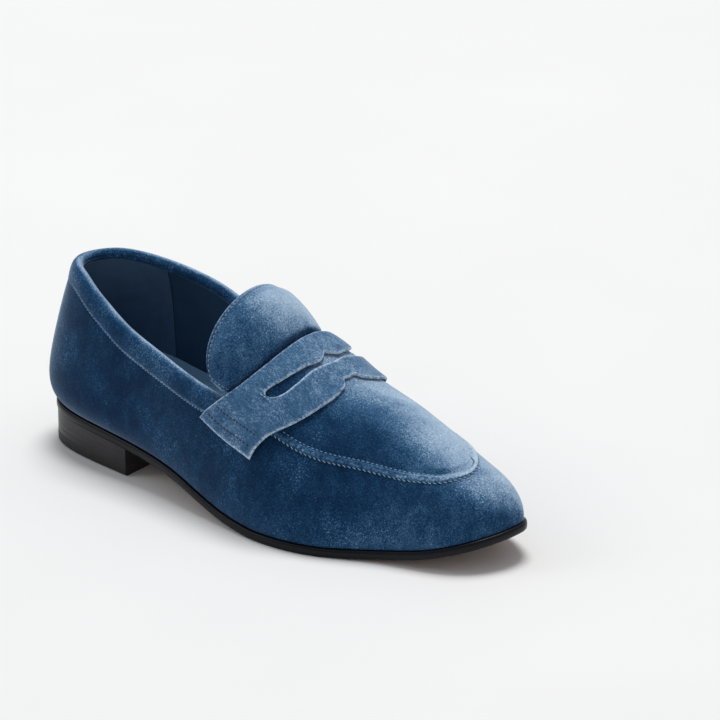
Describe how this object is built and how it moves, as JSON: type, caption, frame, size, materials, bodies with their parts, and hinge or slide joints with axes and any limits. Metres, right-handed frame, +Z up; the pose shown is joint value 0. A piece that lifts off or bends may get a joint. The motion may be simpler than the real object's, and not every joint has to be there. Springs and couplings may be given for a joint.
{
  "type": "penny loafer",
  "caption": "Slip-on penny loafer for the right foot: velvet upper with raised apron seam, slotted saddle strap, padded tongue, rolled collar, leather sole and stacked heel.",
  "frame": {"origin": "middle of the overall box, on the floor", "axes": "+X towards the toe, +Y towards the other foot, +Z up"},
  "size_m": [0.3028, 0.1036, 0.1155],
  "materials": {
    "velvet": "blue cotton velvet with a short nap",
    "lining": "matt navy lining leather",
    "footbed": "soft blue-grey leather",
    "foam": "soft open foam",
    "stiffener": "pressed fibre",
    "board": "leather board",
    "cork": "cork paste",
    "sole_leather": "burnished sole leather, black edge",
    "heel_leather": "polished black stacked leather",
    "rubber": "matt black rubber",
    "steel": "plain steel"
  },
  "bodies": {
    "shoe": {"upper_wrap": "velvet", "apron": "velvet", "penny_strap": "velvet", "topline_collar": "velvet", "collar_foam": "foam", "heel_counter": "stiffener", "toe_puff": "stiffener", "heel_grip_lining": "lining", "quarter_lining_lateral": "lining", "quarter_lining_medial": "lining", "vamp_lining": "lining", "heel_pad": "foam", "sock_liner": "footbed", "insole_board": "board", "cork_filler": "cork", "shank": "steel", "outsole": "sole_leather", "heel_lift_wedge": "heel_leather", "heel_lift_middle": "heel_leather", "heel_lift_lower": "heel_leather", "top_lift": "rubber", "heel_nail_1": "steel", "heel_nail_2": "steel", "heel_nail_3": "steel", "heel_nail_4": "steel", "heel_nail_5": "steel"},
    "tongue": {"tongue_cover": "velvet", "tongue_foam": "foam", "tongue_lining": "lining"}
  },
  "joints": [
    {"name": "tongue_hinge", "type": "hinge", "parent": "shoe", "child": "tongue", "pos_m": [0.0164, 0.0061, 0.091], "axis": [0, 1, 0], "range_deg": [0, 22], "stiffness_Nm_per_rad": 0.05}
  ]
}
